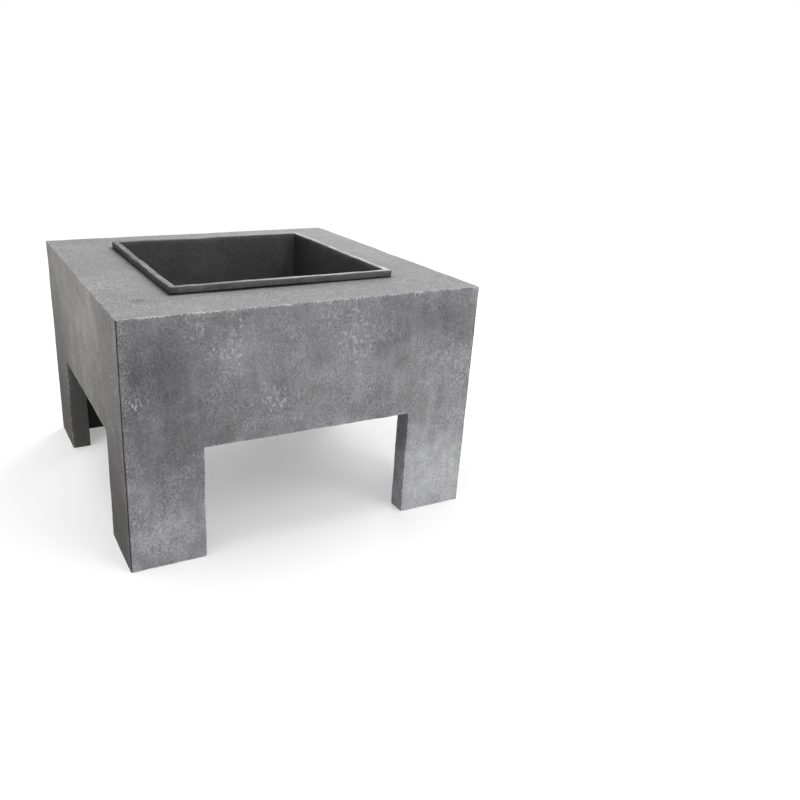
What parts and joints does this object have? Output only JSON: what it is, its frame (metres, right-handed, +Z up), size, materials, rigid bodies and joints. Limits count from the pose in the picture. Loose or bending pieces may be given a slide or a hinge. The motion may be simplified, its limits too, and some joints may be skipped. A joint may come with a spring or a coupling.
{
  "type": "fire pit with grate",
  "caption": "Square cement-look fire pit table on corner legs, with a lift-out black steel fire tray and a low rod grate inside it.",
  "frame": {"origin": "on the ground under the middle of the table", "axes": "+Z up, +X to the right, -Y towards the front"},
  "size_m": [0.6, 0.6, 0.41],
  "materials": {
    "cement": "matte",
    "tray_black": "satin",
    "grate_steel": "matte"
  },
  "bodies": {
    "table": {"top_slab": "cement", "front_panel": "cement", "right_panel": "cement", "back_panel": "cement", "left_panel": "cement"},
    "tray": {"fire_tray": "tray_black"},
    "grate": {"grate_frame_front": "grate_steel", "grate_frame_right": "grate_steel", "grate_frame_back": "grate_steel", "grate_frame_left": "grate_steel", "grate_rod_1": "grate_steel", "grate_rod_2": "grate_steel", "grate_rod_3": "grate_steel", "grate_rod_4": "grate_steel", "grate_rod_5": "grate_steel", "grate_rod_6": "grate_steel", "grate_rod_7": "grate_steel", "grate_rod_8": "grate_steel", "grate_rod_9": "grate_steel", "grate_rod_10": "grate_steel", "grate_rod_11": "grate_steel", "grate_strap": "grate_steel", "grate_foot_front_left": "grate_steel", "grate_foot_front_right": "grate_steel", "grate_foot_back_right": "grate_steel", "grate_foot_back_left": "grate_steel"}
  },
  "joints": [
    {"name": "tray_lift", "type": "slide", "parent": "table", "child": "tray", "axis": [0, 0, 1], "range_m": [0, 0.15]},
    {"name": "grate_lift", "type": "slide", "parent": "tray", "child": "grate", "axis": [0, 0, 1], "range_m": [0, 0.14]}
  ]
}
